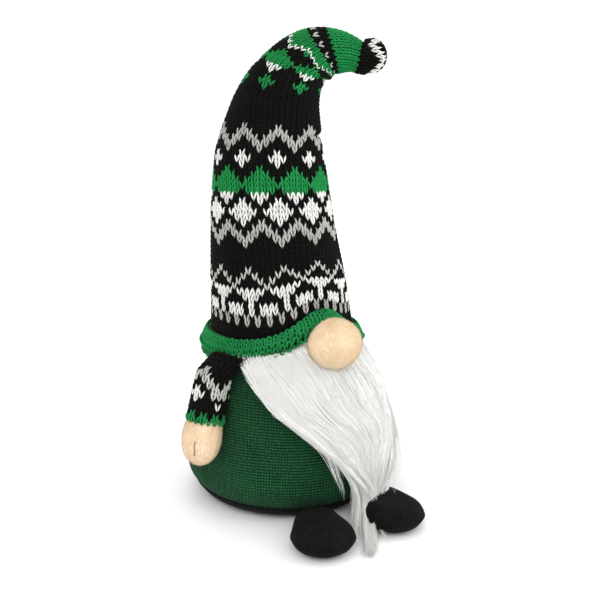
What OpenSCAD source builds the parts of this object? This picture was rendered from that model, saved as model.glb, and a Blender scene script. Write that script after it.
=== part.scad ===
// Stuffed gnome figurine: weighted bag body, tall knitted hat on a bendable
// wire, ball nose, long beard, two hanging arms and two pad feet.
// The gnome faces -Y, its left hand is on +X, and its base rests on z = 0.

/* [Body] */
// Radius of the flat circle that the base rests on
base_flat_r = 60; // [50:1:66]
// Radius of the seam between the base panel and the body cover
base_seam_r = 80; // [72:1:96]
// Height of the base seam above the floor
base_seam_h = 12; // [9:1:15]
// Largest radius of the body
body_r = 88.5; // [82:0.5:106]
// Height of the largest radius
body_bulge_h = 28; // [22:1:34]
// Radius of the body where the hat starts
neck_r = 60; // [52:1:66]
// Height of the gathered neck of the body
neck_h = 136; // [113:1:164]
// Thickness of the body cover and the base panel
cover_t = 1.5; // [1:0.1:2.5]
// Thickness of the stiff card in the base
card_t = 2; // [1:0.25:3]
// Height of the bag of ballast pellets
ballast_h = 24; // [18:1:29]

/* [Hat] */
// Outer radius of the hat at its brim
hat_r = 61.5; // [54:0.5:70]
// Outer radius of the hat at the lower bend
hat_bend_r = 42.5; // [36:0.5:48]
// Outer radius of the hat at the crook
hat_crook_r = 29; // [25:0.5:33]
// Outer radius of the hat at the pinch before the tip
hat_pinch_r = 12.5; // [10:0.5:15]
// Outer radius of the round tip
tip_r = 14; // [11:0.5:17]
// Length of the hat from its brim to the lower bend
hat_lower_len = 167; // [139:1:201]
// Length along the hat from the lower bend to the crook
hat_middle_len = 62; // [52:1:75]
// Length along the hat from the crook to the pinch
hat_upper_len = 62; // [52:1:75]
// Length of the tip past the pinch
tip_len = 23; // [19:1:28]
// How far the lower bend stands behind the brim's centre
hat_lean_back = 14; // [0:1:18]
// How far the brim's centre stands behind the body's axis
hat_set_back = 9; // [6:1:11]
// Which way the top droops, in degrees from the front towards the left hand
droop_az = 59; // [40:1:80]
// Thickness of the hat's knitted wall
knit_t = 2; // [1.4:0.1:3]
// Half the height of the rolled brim
brim_half_h = 8; // [6:0.5:10]
// Half the thickness of the rolled brim
brim_half_t = 6; // [4:0.5:8]
// How far the brim climbs over the nose
brim_rise = 26; // [20:1:32]
// Diameter of the bendable wire in the hat
wire_d = 2.5; // [2:0.25:4]

/* [Face] */
// Radius of the ball nose
nose_r = 21.5; // [18:0.5:26]
// Height of the nose's centre above the neck
nose_rise = 9; // [5:1:13]
// Thickness of the beard's pile on the cheeks
beard_t = 9; // [6:0.5:12]
// Half the angle that the beard spans round the body at its top
beard_half_angle = 58; // [45:1:70]
// Height of the line where the hanging beard swings
beard_hinge_h = 101; // [92:1:106]

/* [Arms] */
// Radius of the sleeve at the shoulder
shoulder_r = 14.5; // [12:0.5:15]
// Radius of the sleeve at the cuff
cuff_r = 15.5; // [13:0.5:16]
// Length from the shoulder's pivot to the cuff's edge
sleeve_len = 36; // [30:1:43]
// Half the width of the mitten hand
hand_half_w = 18.5; // [15:0.5:22]
// Half the thickness of the mitten hand
hand_half_t = 13; // [10:0.5:14]
// Length of the mitten hand that shows past the cuff
hand_len = 42; // [35:1:50]
// Lean of the hanging arm from upright, in degrees
arm_lean = 16; // [14:0.5:20]
// How far forwards of the side the right arm is sewn, in degrees
arm_right_az = 14; // [5:1:25]
// How far forwards of the side the left arm is sewn, in degrees; below 0 is backwards
arm_left_az = -18; // [-25:1:25]

/* [Feet] */
// Length of a foot pad
foot_len = 66; // [54:1:80]
// Width of a foot pad
foot_w = 50; // [41:1:52]
// Thickness of a foot pad
foot_h = 21; // [17:0.5:24]
// Thickness of the felt skin
felt_t = 1.5; // [1:0.1:2.5]

/* [Hidden] */

gap = 0.2;              // clearance between pieces of one body
move_gap = 0.6;         // clearance between pieces that move apart
round_fn = 72;
loft_sides = 36;
skin_fn = 28;

body_green = "#07371a";
hat_green = "#1c7f42";
yarn_black = "#0a0a08";
yarn_grey = "#9a9a94";
fur_white = "#f3f3ed";
fleece_beige = "#f6deba";
felt_black = "#0d0e0c";
fibre = "#eeeeea";
steel = "#9b9ea1";
kraft = "#a98d64";

// ---------- body outline ----------
belly_power = 1.4;      // how full the belly stays above its widest ring
outline_steps = 20;

// Radius of the base panel's outside at height z, below the seam
function panel_r(z) =
    base_flat_r + (base_seam_r - base_flat_r) * sqrt(1 - pow(1 - z / base_seam_h, 2));
// Radius of the body cover's outside at height z, above the seam
function cover_r(z) =
    z < body_bulge_h
    ? body_r - (body_r - base_seam_r) * pow((body_bulge_h - z) / (body_bulge_h - base_seam_h), 2)
    : body_r - (body_r - neck_r) * pow((z - body_bulge_h) / (neck_h - body_bulge_h), belly_power);

function steps(from, to, n) = [for (i = [0:n]) from + (to - from) * i / n];
function reversed(list) = [for (i = [len(list) - 1:-1:0]) list[i]];
function panel_outline(inset) =
    [for (z = steps(0, base_seam_h, outline_steps)) [panel_r(z) - inset, max(z, inset)]];
function cover_outline(inset, low, high) =
    [for (z = steps(low, high, outline_steps)) [cover_r(z) - inset, z]];

card_top = cover_t + gap + card_t;
ballast_low = card_top + gap;
ballast_top = ballast_low + ballast_h;
ballast_r = base_flat_r - 2;
ballast_edge = ballast_h / 2;

module ring_of(points) rotate_extrude($fn = round_fn) polygon(points);

module base_panel() {
    inner = [for (p = panel_outline(cover_t)) if (p[1] < base_seam_h) p];
    color(felt_black)
        ring_of(concat(
            [[0, 0]],
            panel_outline(0),
            [[base_seam_r - cover_t, base_seam_h]],
            reversed(inner),
            [[0, cover_t]]
        ));
}

module base_card() {
    color(kraft)
        translate([0, 0, cover_t + gap])
            cylinder(r = base_flat_r - cover_t - 1.5, h = card_t, $fn = round_fn);
}

module ballast_bag() {
    color(kraft)
        rotate_extrude($fn = round_fn) {
            translate([0, ballast_low]) square([ballast_r - ballast_edge, ballast_h]);
            intersection() {
                translate([ballast_r - ballast_edge, ballast_low + ballast_edge])
                    circle(r = ballast_edge, $fn = round_fn);
                translate([0, ballast_low]) square([ballast_r + 1, ballast_h]);
            }
        }
}

module body_cover() {
    low = base_seam_h + gap;
    color(body_green)
        ring_of(concat(
            cover_outline(0, low, neck_h),
            [[0, neck_h], [0, neck_h - cover_t]],
            reversed(cover_outline(cover_t, low, neck_h - cover_t))
        ));
}

module body_filling() {
    low = base_seam_h + gap;
    inset = cover_t + gap;
    wall = ballast_r + 1;
    color(fibre)
        ring_of(concat(
            [[0, ballast_top + gap], [wall, ballast_top + gap], [wall, low]],
            cover_outline(inset, low, neck_h - inset),
            [[0, neck_h - inset]]
        ));
}

// The seam thread stands clear of the cover, which widens above the seam
piping_r = 0.9;
cover_slope = 2 * (body_r - base_seam_r) / (body_bulge_h - base_seam_h);
piping_path_r = base_seam_r + (piping_r + gap) * sqrt(1 + pow(cover_slope, 2));
module base_seam_piping() {
    color(yarn_black)
        rotate_extrude($fn = round_fn)
            translate([piping_path_r, base_seam_h])
                circle(r = piping_r, $fn = 16);
}

// ---------- hat spine ----------
// The lower hat is a straight cone that leans back. Above the lower bend the
// spine runs in one upright plane, as arcs with a start and an end heading,
// in degrees from upright towards the droop side.
brim_h = neck_h + 5;
hat_low = brim_h;
bend_dir = [sin(droop_az), -cos(droop_az), 0];
bend_side = [cos(droop_az), sin(droop_az), 0];
up = [0, 0, 1];
middle_heading = [-4, 40];
upper_heading = [42, 122];
tip_heading = 86;
bend_shift = 4;         // the lower bend sits a little off the far side of the droop
brim_centre = [0, hat_set_back, hat_low];
bend_point = brim_centre + [0, hat_lean_back, hat_lower_len] - bend_shift * bend_dir;

// Offset along an arc of a given length and headings, after a share t of it
function arc_offset(length, heading, t) =
    let (turn = heading[1] - heading[0], now = heading[0] + turn * t, radius = length * 180 / (PI * turn))
    [radius * (cos(heading[0]) - cos(now)), radius * (sin(now) - sin(heading[0]))];
function in_plane(origin, offset) = origin + offset[0] * bend_dir + offset[1] * up;

crook_point = in_plane(bend_point, arc_offset(hat_middle_len, middle_heading, 1));
pinch_point = in_plane(crook_point, arc_offset(hat_upper_len, upper_heading, 1));

// A ring of points about centre, square to the given heading
function ring(centre, r, heading) = [
    for (i = [0:loft_sides - 1])
        let (a = 360 * i / loft_sides)
        centre + r * (cos(a) * (cos(heading) * bend_dir - sin(heading) * up) + sin(a) * bend_side)
];

// A closed solid through a list of rings
module loft(rings) {
    n = len(rings[0]);
    last = len(rings) - 1;
    points = [for (one = rings) each one];
    sides = [
        for (k = [0:last - 1], i = [0:n - 1])
            let (j = (i + 1) % n)
            each [[k * n + i, k * n + j, (k + 1) * n + j], [k * n + i, (k + 1) * n + j, (k + 1) * n + i]]
    ];
    ends = [reversed([for (i = [0:n - 1]) i]), [for (i = [0:n - 1]) last * n + i]];
    polyhedron(points, [for (face = concat(sides, ends)) reversed(face)], convexity = 6);
}

// A closed wall between two lists of rings
module wall(outer, inner) {
    n = len(outer[0]);
    last = len(outer) - 1;
    past = (last + 1) * n;
    points = concat([for (one = outer) each one], [for (one = inner) each one]);
    function sides(first) = [
        for (k = [0:last - 1], i = [0:n - 1])
            let (j = (i + 1) % n, a = first + k * n, b = a + n)
            each [[a + i, a + j, b + j], [a + i, b + j, b + i]]
    ];
    function rim(a, b) = [
        for (i = [0:n - 1])
            let (j = (i + 1) % n)
            each [[a + i, a + j, b + j], [a + i, b + j, b + i]]
    ];
    outside = concat(sides(0), rim(last * n, past + last * n));
    inside = concat(sides(past), rim(0, past));
    polyhedron(points, concat([for (face = outside) reversed(face)], inside), convexity = 6);
}

// Rings of one hat segment. inset shrinks it evenly. The segment's ends are cones
// towards the bend's pivot, so that it can tilt against its neighbour.
wedge_lower = 8;        // half the angle left open at the lower bend
wedge_crook = 11;
wedge_pinch = 13;
apex_r = 0.4;

function lower_centre(t) = brim_centre + (bend_point - brim_centre) * t;
function lower_rings(inset, top_cut) =
    let (rim = top_cut / hat_lower_len)
    [
        for (t = steps(0, 1 - rim, 6))
            ring(lower_centre(t), hat_r + (hat_bend_r - hat_r) * pow(t, 1.15) - inset, 0)
    ];
// Rings of an arc that stops short of its pivots by the two cuts. The rings turn evenly between
// the headings in faces, so that facing ends are parallel. past runs the rings on beyond the cuts.
function arc_rings(origin, length, heading, faces, r0, r1, inset, cuts, past, n) = [
    for (i = [0:n])
        let (
            from = cuts[0] / length,
            share = 1 - (cuts[0] + cuts[1]) / length,
            reach = past / length,
            t = from - reach + (share + 2 * reach) * i / n,
            turn = (t - from) / share
        )
        ring(
            in_plane(origin, arc_offset(length, heading, t)),
            r0 + (r1 - r0) * t - inset,
            faces[0] + (faces[1] - faces[0]) * turn
        )
];
bend_face = middle_heading[0] / 2;
crook_face = (middle_heading[1] + upper_heading[0]) / 2;
pinch_face = (upper_heading[1] + tip_heading) / 2;

lower_rim_cut = hat_bend_r * tan(wedge_lower) + move_gap;
middle_low_cut = lower_rim_cut;
middle_top_cut = hat_crook_r * tan(wedge_crook) + move_gap + 1;
upper_low_cut = middle_top_cut + 0.5;
upper_top_cut = hat_pinch_r * tan(wedge_pinch) + move_gap;

// The knit walls stop at the wedge's rim; the filling runs on in a cone to the pivot
module hat_knit_lower() {
    color(yarn_black) difference() {
        wall(lower_rings(0, lower_rim_cut), lower_rings(knit_t, lower_rim_cut));
        nose_room();
    }
}
module hat_filling_lower() {
    inset = knit_t + gap;
    color(fibre) difference() {
        loft(concat(
            lower_rings(inset, lower_rim_cut + 1),
            [ring(bend_point - move_gap * 2 * up, apex_r, 0)]
        ));
        wire_run(lower_wire_rings(wire_d / 2 + gap));
    }
}

module hat_knit_middle() {
    color(hat_green) wall(middle_rings(0, 0), middle_rings(knit_t, 0));
}
function middle_rings(inset, past) =
    arc_rings(bend_point, hat_middle_len, middle_heading, [bend_face, crook_face],
        hat_bend_r, hat_crook_r, inset, [middle_low_cut, middle_top_cut], past, 6);
module hat_filling_middle() {
    inset = knit_t + gap;
    color(fibre) difference() {
        loft(concat(
            [ring(bend_point + move_gap * up, apex_r, middle_heading[0])],
            middle_rings(inset, -1),
            [ring(in_plane(crook_point, -2 * move_gap * [sin(middle_heading[1]), cos(middle_heading[1])]),
                apex_r, middle_heading[1])]
        ));
        wire_run(middle_wire_rings(wire_d / 2 + gap));
    }
}

module hat_knit_upper() {
    color(hat_green) wall(upper_rings(0, 0), upper_rings(knit_t, 0));
}
function upper_rings(inset, past) =
    arc_rings(crook_point, hat_upper_len, upper_heading, [crook_face, pinch_face],
        hat_crook_r, hat_pinch_r, inset, [upper_low_cut, upper_top_cut], past, 8);
module hat_filling_upper() {
    inset = knit_t + gap;
    color(fibre) difference() {
        loft(concat(
            [ring(in_plane(crook_point, move_gap * [sin(upper_heading[0]), cos(upper_heading[0])]),
                apex_r, upper_heading[0])],
            upper_rings(inset, -1),
            [ring(in_plane(pinch_point, -2 * move_gap * [sin(pinch_face), cos(pinch_face)]),
                apex_r, pinch_face)]
        ));
        wire_run(upper_wire_rings(wire_d / 2 + gap));
    }
}

// The tip is a ball-ended bag past the pinch
tip_neck_cut = upper_top_cut;
function tip_point(d) = in_plane(pinch_point, d * [sin(tip_heading), cos(tip_heading)]);
function tip_radius(d) =
    let (x = (d - tip_len * 0.45) / (tip_len * 0.55))
    tip_r * sqrt(max(0, 1 - max(0, x) * x));
function tip_rings(inset) = [
    for (t = concat([0], steps(0.25, 1, 6)))
        let (
            d = tip_neck_cut + (tip_len - inset - tip_neck_cut) * sin(90 * t),
            r = min(tip_radius(d), hat_pinch_r + (d - tip_neck_cut) * 0.4) - inset
        )
        ring(tip_point(d), max(apex_r, r), t == 0 ? pinch_face : tip_heading)
];
module hat_knit_tip() {
    color(yarn_black) difference() {
        loft(tip_rings(0));
        loft(concat([ring(tip_point(tip_neck_cut - 1), hat_pinch_r - knit_t, pinch_face)], tip_rings(knit_t)));
    }
}
module hat_filling_tip() {
    color(fibre)
        loft(concat([ring(tip_point(move_gap * 1.5), apex_r, pinch_face)], tip_rings(knit_t + gap)));
}

// ---------- wire ----------
wire_end = 3;
function wire_ring(centre, r, heading) = [
    for (i = [0:9])
        let (a = 36 * i)
        centre + r * (cos(a) * (cos(heading) * bend_dir - sin(heading) * up) + sin(a) * bend_side)
];
function lower_wire_rings(r) =
    [for (t = [0.02, 1 - wire_end / hat_lower_len]) wire_ring(lower_centre(t), r, 0)];
function arc_wire_rings(origin, length, heading, r) = [
    for (t = steps(wire_end / length, 1 - wire_end / length, 6))
        wire_ring(
            in_plane(origin, arc_offset(length, heading, t)),
            r,
            heading[0] + (heading[1] - heading[0]) * t
        )
];
function middle_wire_rings(r) = arc_wire_rings(bend_point, hat_middle_len, middle_heading, r);
function upper_wire_rings(r) = arc_wire_rings(crook_point, hat_upper_len, upper_heading, r);
module wire_run(rings) loft(rings);

module hat_wire_lower() color(steel) wire_run(lower_wire_rings(wire_d / 2));
module hat_wire_middle() color(steel) wire_run(middle_wire_rings(wire_d / 2));
module hat_wire_upper() color(steel) wire_run(upper_wire_rings(wire_d / 2));

// ---------- brim ----------
brim_sides = 12;
brim_rings = 60;
brim_bump_width = 24;   // degrees each side over which the brim climbs the nose
brim_path_r = hat_r + brim_half_t + gap;
// Share of the climb at an angle from the front
function brim_bump(a) = exp(-pow(a / brim_bump_width, 2));
function brim_section(a) =
    let (climb = brim_bump(a), out = [sin(a), -cos(a), 0])
    [
        for (i = [0:brim_sides - 1])
            let (b = 360 * i / brim_sides)
            brim_centre
                + (brim_path_r + climb * 3 + brim_half_t * cos(b)) * out
                + (brim_half_h * (0.12 + sin(b)) + brim_rise * climb) * up
    ];
// The gathered top of the body, which the brim sits round
module neck_room()
    ring_of(concat(
        [[0, neck_h - 2 * brim_half_h]],
        cover_outline(-2 * gap, neck_h - 2 * brim_half_h, neck_h),
        [[neck_r + 2 * gap, neck_h + gap], [0, neck_h + gap]]
    ));
module hat_brim() {
    sections = [for (i = [0:brim_rings - 1]) brim_section(360 * i / brim_rings - 180)];
    points = [for (section = sections) each section];
    faces = [
        for (k = [0:brim_rings - 1], i = [0:brim_sides - 1])
            let (j = (i + 1) % brim_sides, m = (k + 1) % brim_rings)
            each [
                [k * brim_sides + i, m * brim_sides + j, m * brim_sides + i],
                [k * brim_sides + i, k * brim_sides + j, m * brim_sides + j]
            ]
    ];
    color(hat_green) difference() {
        polyhedron(points, faces, convexity = 6);
        nose_room();
        neck_room();
    }
}

// ---------- nose ----------
nose_h = neck_h + nose_rise;
nose_y = -(neck_r + 15);
nose_centre = [0, nose_y, nose_h];
module nose_ball(r) translate(nose_centre) sphere(r = r, $fn = round_fn);
module nose_room() nose_ball(nose_r + gap);
// What lies behind the nose: the body below and the hat above
module behind_nose(clearance) {
    translate([0, 0, neck_h / 2])
        cylinder(r = cover_r(nose_h - nose_r) + clearance, h = neck_h / 2 + gap, $fn = round_fn);
    translate([0, hat_set_back, neck_h])
        cylinder(r = hat_r + clearance, h = 2 * nose_r + nose_rise, $fn = round_fn);
}
module nose_cover() {
    color(fleece_beige) difference() {
        nose_ball(nose_r);
        nose_ball(nose_r - cover_t);
        behind_nose(gap);
    }
}
module nose_filling() {
    color(fibre) difference() {
        nose_ball(nose_r - cover_t - gap);
        behind_nose(gap);
    }
}

// ---------- beard ----------
cheek_low = beard_hinge_h + 4;
cheek_high = neck_h - 2;
backing_t = 1;
module cheek_ring(inner, outer, low, high) {
    rotate([0, 0, -90 - beard_half_angle])
        rotate_extrude(angle = 2 * beard_half_angle, $fn = round_fn)
            polygon(concat(
                [for (z = steps(low, high, 8)) [cover_r(z) + outer, z]],
                [for (z = steps(high, low, 8)) [cover_r(z) + inner, z]]
            ));
}
module beard_backing() {
    color(fibre) difference() {
        cheek_ring(gap, gap + backing_t, cheek_low + 1, cheek_high);
        nose_room();
    }
}
module beard_cheeks() {
    color(fur_white) difference() {
        cheek_ring(2 * gap + backing_t, beard_t, cheek_low, cheek_high);
        nose_room();
    }
}

// The hanging beard: [height, distance from the body's axis, sideways, half width,
// half thickness, how far the thickness turns from outwards to upwards in degrees]
swing_room = 3.5;       // space between the hanging beard and the belly
hang_t = 4.5;
function belly_y(z) = cover_r(max(z, body_bulge_h)) + swing_room + hang_t;
hanging = [
    [beard_hinge_h - 3, belly_y(beard_hinge_h - 3), 5, 30, 3.6, 0],
    [80, belly_y(80), 8, 29, hang_t, 0],
    [60, belly_y(60), 10, 24, hang_t, 0],
    [42, belly_y(42), 10, 18, hang_t, 0],
    [26, belly_y(26) + 0.5, 5.5, 10, 4.2, 10],
    [12, belly_y(26) + 9, 0.5, 5.5, 3.6, 50],
    [4.4, belly_y(26) + 23, -3, 5, 3, 82],
    [3.6, belly_y(26) + 38, -6, 4.5, 2.6, 90],
    [3, belly_y(26) + 51, -14, 2, 1.6, 90]
];
hang_sides = 16;
function hang_section(s) = [
    for (i = [0:hang_sides - 1])
        let (
            a = 360 * i / hang_sides,
            across = s[3] * cos(a),
            thick = s[4] * sin(a),
            wrap = pow(across, 2) / (2 * s[1])
        )
        [s[2] + across, -(s[1] - wrap * cos(s[5]) + thick * cos(s[5])), s[0] + thick * sin(s[5])]
];
module beard_hanging() color(fur_white) loft([for (s = hanging) hang_section(s)]);

// ---------- arms ----------
// Each arm is drawn hanging along -Z from its shoulder pivot, then leaned outwards
arm_pivot_h = neck_h - brim_half_h * 0.4 - shoulder_r - 1.3;
arm_pivot_r = cover_r(arm_pivot_h) + shoulder_r + 2.6;
module place_arm(side) {
    rotate([0, 0, side > 0 ? -arm_left_az : 180 + arm_right_az])
        translate([arm_pivot_r, 0, arm_pivot_h])
            rotate([0, -arm_lean, 0])
                children();
}
sleeve_t = 1.8;
cuff_w = 6;
cuff_t = 1.4;
module sleeve(side) {
    edge = sleeve_len - cuff_w - gap;
    place_arm(side)
        color(yarn_black) difference() {
            union() {
                sphere(r = shoulder_r, $fn = round_fn);
                translate([0, 0, -edge]) cylinder(r1 = cuff_r - 0.7, r2 = shoulder_r, h = edge, $fn = round_fn);
            }
            sphere(r = shoulder_r - sleeve_t, $fn = round_fn);
            translate([0, 0, -edge - 1])
                cylinder(
                    r1 = cuff_r - 0.7 - sleeve_t,
                    r2 = shoulder_r - sleeve_t,
                    h = edge + 1,
                    $fn = round_fn
                );
        }
}
module cuff(side) {
    place_arm(side)
        color(hat_green)
            translate([0, 0, -sleeve_len])
                difference() {
                    cylinder(r = cuff_r, h = cuff_w, $fn = round_fn);
                    translate([0, 0, -1]) cylinder(r = cuff_r - cuff_t, h = cuff_w + 2, $fn = round_fn);
                }
}
module arm_filling(side) {
    inset = sleeve_t + gap;
    edge = sleeve_len - cuff_w;
    place_arm(side)
        color(fibre)
            union() {
                sphere(r = shoulder_r - inset, $fn = round_fn);
                translate([0, 0, -edge])
                    cylinder(r1 = cuff_r - 0.7 - inset, r2 = shoulder_r - inset, h = edge, $fn = round_fn);
            }
}
// The mitten has a round stub inside the cuff and a flat oval palm below it
hand_top = sleeve_len - cuff_w + gap;
module hand(side) {
    place_arm(side)
        color(fleece_beige)
            difference() {
                mitten();
                stitch_line(stitch_r + gap / 2);
            }
}
module mitten() {
    hull() {
        translate([0, 0, -sleeve_len])
            cylinder(r = hand_half_t - 0.3, h = sleeve_len - hand_top, $fn = skin_fn);
        translate([0, 0, -sleeve_len - hand_len * 0.45])
            scale([hand_half_t, hand_half_w, hand_len * 0.4]) sphere(r = 1, $fn = skin_fn);
        translate([0, 0, -sleeve_len - hand_len * 0.68])
            scale([hand_half_t * 0.8, hand_half_w * 0.78, hand_len * 0.32]) sphere(r = 1, $fn = skin_fn);
    }
}
// The thumb is drawn by a line of thread laid in a groove of the palm's outer face
stitch_r = 0.6;
module stitch_line(r) {
    translate([hand_half_t * 0.93, -hand_half_w * 0.3, -sleeve_len - hand_len * 0.5])
        cylinder(r = r, h = hand_len * 0.3 + 2 * (r - stitch_r), center = true, $fn = 16);
}
module thumb_stitch(side) place_arm(side) color(yarn_grey) stitch_line(stitch_r);

// ---------- feet ----------
// A foot lies along -Y from its heel hinge and is turned about the heel
foot_hinge_r = base_seam_r + 6.5;
foot_seam_h = foot_h / 2;
// Side, heel direction round the body and turn of the pad, both in degrees
foot_right = [-1, 17, 20];
foot_left = [1, 27, -12];
module place_foot(foot) {
    rotate([0, 0, foot[0] * foot[1]])
        translate([0, -foot_hinge_r, foot_seam_h])
            rotate([0, 0, foot[0] * (foot[2] - foot[1])])
                children();
}
heel_r = foot_w * 0.36;
toe_r = foot_w / 2;
module foot_pad(inset) {
    thick = foot_seam_h - inset;
    hull() {
        translate([0, -heel_r, 0])
            scale([heel_r - inset, heel_r - inset, thick]) sphere(r = 1, $fn = skin_fn);
        translate([0, -(foot_len - toe_r), 0])
            scale([toe_r - inset, toe_r - inset, thick]) sphere(r = 1, $fn = skin_fn);
    }
}
module half_space(top)
    translate([-foot_len, -foot_len * 1.5, top ? gap / 2 : -foot_h])
        cube([2 * foot_len, 2 * foot_len, foot_h - (top ? 0 : gap / 2)]);
module foot_skin(foot, top) {
    place_foot(foot)
        color(felt_black) intersection() {
            difference() {
                foot_pad(0);
                foot_pad(felt_t);
            }
            half_space(top);
        }
}
module foot_filling(foot) place_foot(foot) color(fibre) foot_pad(felt_t + gap);

base_panel();
base_card();
ballast_bag();
body_cover();
body_filling();
base_seam_piping();
hat_brim();
hat_knit_lower();
hat_filling_lower();
hat_wire_lower();
hat_knit_middle();
hat_filling_middle();
hat_wire_middle();
hat_knit_upper();
hat_filling_upper();
hat_wire_upper();
hat_knit_tip();
hat_filling_tip();
nose_cover();
nose_filling();
beard_cheeks();
beard_hanging();
beard_backing();
sleeve(-1);  // sleeve_right
cuff(-1);  // cuff_right
arm_filling(-1);  // arm_filling_right
hand(-1);  // hand_right
thumb_stitch(-1);  // thumb_stitch_right
sleeve(1);  // sleeve_left
cuff(1);  // cuff_left
arm_filling(1);  // arm_filling_left
hand(1);  // hand_left
thumb_stitch(1);  // thumb_stitch_left
foot_skin(foot_right, true);  // foot_upper_right
foot_skin(foot_right, false);  // foot_sole_right
foot_filling(foot_right);  // foot_filling_right
foot_skin(foot_left, true);  // foot_upper_left
foot_skin(foot_left, false);  // foot_sole_left
foot_filling(foot_left);  // foot_filling_left
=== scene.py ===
"""Looks of the stuffed gnome: knit, felt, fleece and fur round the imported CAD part."""

import math

import bpy
import numpy as np
from bpy.props import FloatProperty, IntProperty, PointerProperty
from bpy.types import Operator, Panel, PropertyGroup
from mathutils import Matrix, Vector


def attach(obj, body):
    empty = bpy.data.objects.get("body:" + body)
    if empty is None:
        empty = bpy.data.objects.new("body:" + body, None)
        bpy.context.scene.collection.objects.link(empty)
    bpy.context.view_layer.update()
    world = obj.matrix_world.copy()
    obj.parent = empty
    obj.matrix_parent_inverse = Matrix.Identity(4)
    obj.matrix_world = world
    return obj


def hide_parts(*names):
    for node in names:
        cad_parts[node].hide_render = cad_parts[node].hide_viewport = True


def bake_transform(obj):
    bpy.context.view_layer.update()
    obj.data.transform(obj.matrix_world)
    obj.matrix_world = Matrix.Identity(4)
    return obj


bl_info = {
    "name": "Stuffed gnome",
    "version": (1, 0, 0),
    "blender": (4, 5, 0),
    "location": "View3D > Sidebar > Gnome",
    "description": "Builds the knit hat, fur beard, felt feet and stuffed body of a gnome on its CAD frame",
    "category": "Object",
}

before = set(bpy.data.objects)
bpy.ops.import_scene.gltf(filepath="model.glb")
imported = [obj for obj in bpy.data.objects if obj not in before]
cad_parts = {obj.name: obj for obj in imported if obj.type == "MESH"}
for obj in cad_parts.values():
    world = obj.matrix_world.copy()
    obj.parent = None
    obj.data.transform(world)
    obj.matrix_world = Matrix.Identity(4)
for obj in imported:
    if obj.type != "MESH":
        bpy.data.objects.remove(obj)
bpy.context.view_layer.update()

MM = 0.001
UP = np.array([0.0, 0.0, 1.0])
SIDES = (("right", -1), ("left", 1))

# ---------------------------------------------------------------- sizes, in millimetres
BASE_FLAT, BASE_SEAM, SEAM_HEIGHT = 60.0, 80.0, 12.0
BELLY, BELLY_HEIGHT, NECK, NECK_HEIGHT = 88.5, 28.0, 60.0, 136.0
DROOP = math.radians(59)
DROOP_WAY = np.array([math.sin(DROOP), -math.cos(DROOP), 0.0])
DROOP_SIDE = np.array([math.cos(DROOP), math.sin(DROOP), 0.0])
BRIM_CENTRE = np.array([0.0, 9.0, 141.0])
HAT_BEND = np.array([-3.42867, 25.0602, 308.0])
HAT_CROOK = np.array([12.5933, 15.4332, 365.527])
HAT_PINCH = np.array([61.0484, -13.6816, 373.472])
LOWER_LEN, ARC_LEN, TIP_LEN = 167.0, 62.0, 23.0
NOSE_CENTRE = np.array([0.0, -75.0, 147.5])
SHOULDER_OUT, SHOULDER_HEIGHT, ARM_LEAN = 83.863, 117.0, math.radians(16)
ARM_TURNS = {-1: math.radians(194), 1: math.radians(18)}


# ---------------------------------------------------------------- small tools
def colour(text):
    """An sRGB hex colour as linear red, green, blue and alpha."""
    shares = [int(text[i:i + 2], 16) / 255 for i in (1, 3, 5)]
    return tuple(c / 12.92 if c <= 0.04045 else ((c + 0.055) / 1.055) ** 2.4 for c in shares) + (1.0,)


def smooth(low, high, x):
    t = np.clip((x - low) / (high - low), 0, 1)
    return t * t * (3 - 2 * t)


def ripple(points, pitch, seed):
    """A soft noise from -1 to 1 at points in mm, made of seeded waves about pitch mm long."""
    chance = np.random.default_rng(seed)
    total = np.zeros(len(points))
    for _ in range(7):
        way = chance.normal(size=3)
        way *= 2 * math.pi / pitch / np.linalg.norm(way) * chance.uniform(0.7, 1.5)
        total += np.sin(points @ way + chance.uniform(0, 2 * math.pi))
    return total / 3.5


def mesh_object(name, points, faces=(), edges=(), material=None):
    """A smooth mesh object from points in mm."""
    mesh = bpy.data.meshes.new(name)
    mesh.from_pydata((np.asarray(points, float) * MM).tolist(), list(edges), [list(f) for f in faces])
    mesh.update()
    mesh.shade_smooth()
    made = bpy.data.objects.new(name, mesh)
    bpy.context.scene.collection.objects.link(made)
    if material:
        mesh.materials.append(material)
    return made


def grid(rows, round_way=True, cap_low=False, cap_high=False):
    """Points and faces of a surface through rows of points. round_way closes each row on itself."""
    rows = np.asarray(rows, float)
    count, across = rows.shape[:2]
    points = rows.reshape(-1, 3)
    faces = []
    last = across if round_way else across - 1
    for k in range(count - 1):
        for i in range(last):
            j = (i + 1) % across
            faces.append((k * across + i, k * across + j, (k + 1) * across + j, (k + 1) * across + i))
    extra = []
    for wanted, k, turned in ((cap_low, 0, True), (cap_high, count - 1, False)):
        if wanted:
            middle = len(points) + len(extra)
            extra.append(rows[k].mean(0))
            for i in range(across):
                a, b = k * across + i, k * across + (i + 1) % across
                faces.append((b, a, middle) if turned else (a, b, middle))
    if extra:
        points = np.vstack([points, extra])
    return points, faces


def put_values(mesh, name, kind, values, domain="POINT"):
    """Writes one named value for each point, or for each corner, of a mesh."""
    layer = mesh.attributes.new(name, kind, domain)
    slot = {"FLOAT": "value", "FLOAT_VECTOR": "vector", "FLOAT_COLOR": "color", "FLOAT2": "vector"}[kind]
    layer.data.foreach_set(slot, np.asarray(values, np.float32).ravel())


def put_map(thing, sheet_points):
    """Writes the UV map of a surface from a place on its flat cloth, in metres, for each point."""
    corners = np.empty(len(thing.data.loops), np.int32)
    thing.data.loops.foreach_get("vertex_index", corners)
    layer = thing.data.uv_layers.new(name="cloth")
    layer.data.foreach_set("uv", np.asarray(sheet_points, np.float32)[corners].ravel())


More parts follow.
